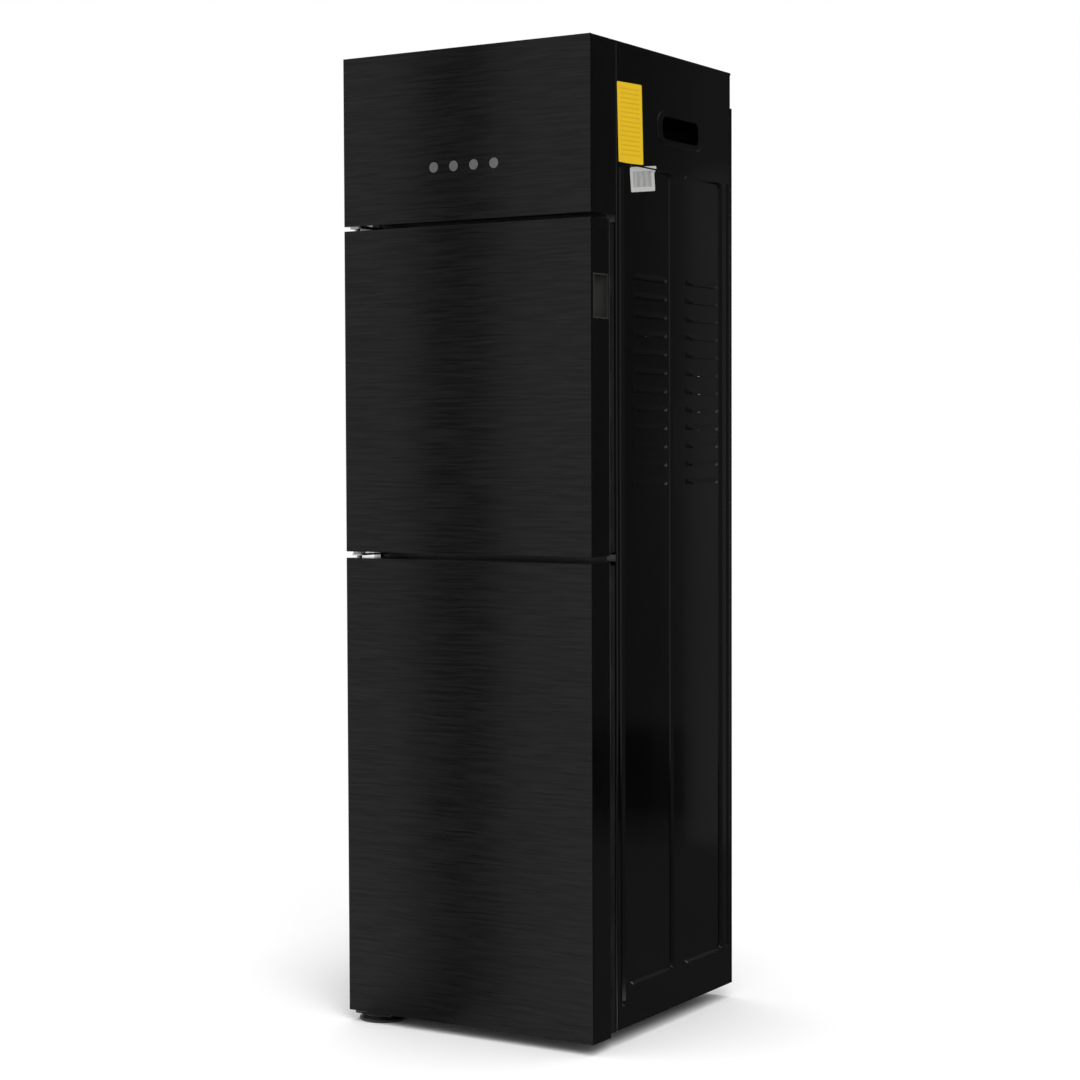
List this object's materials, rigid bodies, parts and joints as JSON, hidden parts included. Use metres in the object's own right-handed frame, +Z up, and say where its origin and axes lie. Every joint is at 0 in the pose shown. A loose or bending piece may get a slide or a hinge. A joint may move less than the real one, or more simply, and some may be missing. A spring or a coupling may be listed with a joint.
{
  "type": "floor-standing water dispenser",
  "caption": "Tall bottom-loading water dispenser: brushed black head with push buttons, hinged doors over a tap niche and a bottle bay, and pressed steel sides with louvres and hand grips.",
  "frame": {"origin": "on the floor under the middle of the box round the whole dispenser", "axes": "+Z up, doors and buttons face -Y, +X to the right of someone facing the doors"},
  "size_m": [0.322, 0.328, 1.082],
  "materials": {
    "black_steel": "satin black powder coat on pressed steel sheet",
    "brushed_black": "black-tinted steel sheet brushed across",
    "black_plastic": "fine-textured black moulding",
    "pull_plastic": "smooth dark grey moulding",
    "button_plastic": "light grey caps",
    "niche_plastic": "dark grey moulding",
    "liner_plastic": "black moulding",
    "seal_rubber": "soft black seal",
    "zinc_steel": "zinc-plated steel",
    "stainless": "brushed stainless steel",
    "foam": "moulded foam jacket",
    "aluminium": "extruded aluminium",
    "board": "green circuit board",
    "hose": "milky silicone hose",
    "bush_plastic": "white acetal",
    "white_plastic": "white moulding",
    "red_plastic": "red moulding",
    "blue_plastic": "blue moulding",
    "foot_rubber": "black moulded foot"
  },
  "bodies": {
    "cabinet": {"base_plate": "black_steel", "side_panel_left": "black_steel", "side_panel_right": "black_steel", "rear_panel": "black_steel", "rear_screws": "zinc_steel", "front_frame": "black_plastic", "partition": "zinc_steel", "top_lid": "black_plastic", "head_frame": "black_plastic", "fascia_sheet": "brushed_black", "control_board": "board", "side_grip_left": "black_plastic", "side_grip_right": "black_plastic", "top_hinge_bracket": "zinc_steel", "middle_hinge_bracket": "zinc_steel", "bottom_hinge_bracket": "black_steel", "niche_liner": "niche_plastic", "taps": "niche_plastic", "power_board": "board", "tank_bridge": "zinc_steel", "hot_tank": "stainless", "hot_tank_jacket": "foam", "cold_tank": "white_plastic", "cold_tank_jacket": "foam", "cooling_module": "aluminium", "heat_sink": "aluminium", "fan_frame": "black_plastic", "water_pump": "white_plastic", "water_hoses": "hose", "bottle_probe": "white_plastic", "probe_hose": "hose", "drain_plug": "black_plastic", "mains_gland": "black_plastic", "switch_housing": "black_plastic"},
    "middle_door": {"middle_door_sheet": "brushed_black", "middle_door_frame": "black_plastic", "middle_door_liner": "liner_plastic", "middle_door_seal": "seal_rubber", "middle_door_pull": "pull_plastic", "middle_door_bushes": "bush_plastic"},
    "lower_door": {"lower_door_sheet": "brushed_black", "lower_door_frame": "black_plastic", "lower_door_liner": "liner_plastic", "lower_door_seal": "seal_rubber", "lower_door_bushes": "bush_plastic"},
    "drip_tray": {"drip_tray": "niche_plastic"},
    "drip_grille": {"drip_grille": "stainless"},
    "fan_rotor": {"fan_rotor": "black_plastic"},
    "switch_rocker": {"switch_rocker": "black_plastic"},
    "foot_front_left": {"foot_front_left": "foot_rubber"},
    "foot_front_right": {"foot_front_right": "foot_rubber"},
    "foot_rear_left": {"foot_rear_left": "foot_rubber"},
    "foot_rear_right": {"foot_rear_right": "foot_rubber"},
    "button_1": {"button_1": "button_plastic"},
    "button_2": {"button_2": "button_plastic"},
    "button_3": {"button_3": "button_plastic"},
    "button_4": {"button_4": "button_plastic"},
    "lever_hot": {"lever_hot": "red_plastic"},
    "lever_room": {"lever_room": "white_plastic"},
    "lever_cold": {"lever_cold": "blue_plastic"}
  },
  "joints": [
    {"name": "middle_door_hinge", "type": "hinge", "parent": "cabinet", "child": "middle_door", "pos_m": [-0.152, -0.15, 0.71125], "axis": [0, 0, -1], "range_deg": [0, 110]},
    {"name": "lower_door_hinge", "type": "hinge", "parent": "cabinet", "child": "lower_door", "pos_m": [-0.152, -0.15, 0.2685], "axis": [0, 0, -1], "range_deg": [0, 110]},
    {"name": "button_1_press", "type": "slide", "parent": "cabinet", "child": "button_1", "axis": [0, 1, 0], "range_m": [0, 0.0012], "stiffness_N_per_m": 700},
    {"name": "button_2_press", "type": "slide", "parent": "cabinet", "child": "button_2", "axis": [0, 1, 0], "range_m": [0, 0.0012], "stiffness_N_per_m": 700},
    {"name": "button_3_press", "type": "slide", "parent": "cabinet", "child": "button_3", "axis": [0, 1, 0], "range_m": [0, 0.0012], "stiffness_N_per_m": 700},
    {"name": "button_4_press", "type": "slide", "parent": "cabinet", "child": "button_4", "axis": [0, 1, 0], "range_m": [0, 0.0012], "stiffness_N_per_m": 700},
    {"name": "lever_hot_press", "type": "hinge", "parent": "cabinet", "child": "lever_hot", "pos_m": [-0.07, -0.0255, 0.824], "axis": [1, 0, 0], "range_deg": [0, 14], "stiffness_Nm_per_rad": 0.8},
    {"name": "lever_room_press", "type": "hinge", "parent": "cabinet", "child": "lever_room", "pos_m": [0, -0.0255, 0.824], "axis": [1, 0, 0], "range_deg": [0, 14], "stiffness_Nm_per_rad": 0.8},
    {"name": "lever_cold_press", "type": "hinge", "parent": "cabinet", "child": "lever_cold", "pos_m": [0.07, -0.0255, 0.824], "axis": [1, 0, 0], "range_deg": [0, 14], "stiffness_Nm_per_rad": 0.8},
    {"name": "drip_tray_lift", "type": "slide", "parent": "cabinet", "child": "drip_tray", "axis": [0, 0, 1], "range_m": [0, 0.04]},
    {"name": "drip_grille_lift", "type": "slide", "parent": "drip_tray", "child": "drip_grille", "axis": [0, 0, 1], "range_m": [0, 0.04]},
    {"name": "fan_spin", "type": "hinge", "parent": "cabinet", "child": "fan_rotor", "pos_m": [0.076, 0.139, 0.6995], "axis": [0, 1, 0], "continuous": true},
    {"name": "switch_rock", "type": "hinge", "parent": "cabinet", "child": "switch_rocker", "pos_m": [-0.095, 0.158, 0.985], "axis": [1, 0, 0], "range_deg": [-16, 0]},
    {"name": "foot_front_left_turn", "type": "hinge", "parent": "cabinet", "child": "foot_front_left", "pos_m": [-0.133, -0.1355, 0.0055], "axis": [0, 0, 1], "range_deg": [0, 1080]},
    {"name": "foot_front_right_turn", "type": "hinge", "parent": "cabinet", "child": "foot_front_right", "pos_m": [0.094, -0.074, 0.0055], "axis": [0, 0, 1], "range_deg": [0, 1080]},
    {"name": "foot_rear_left_turn", "type": "hinge", "parent": "cabinet", "child": "foot_rear_left", "pos_m": [-0.094, 0.126, 0.0055], "axis": [0, 0, 1], "range_deg": [0, 1080]},
    {"name": "foot_rear_right_turn", "type": "hinge", "parent": "cabinet", "child": "foot_rear_right", "pos_m": [0.094, 0.126, 0.0055], "axis": [0, 0, 1], "range_deg": [0, 1080]}
  ]
}
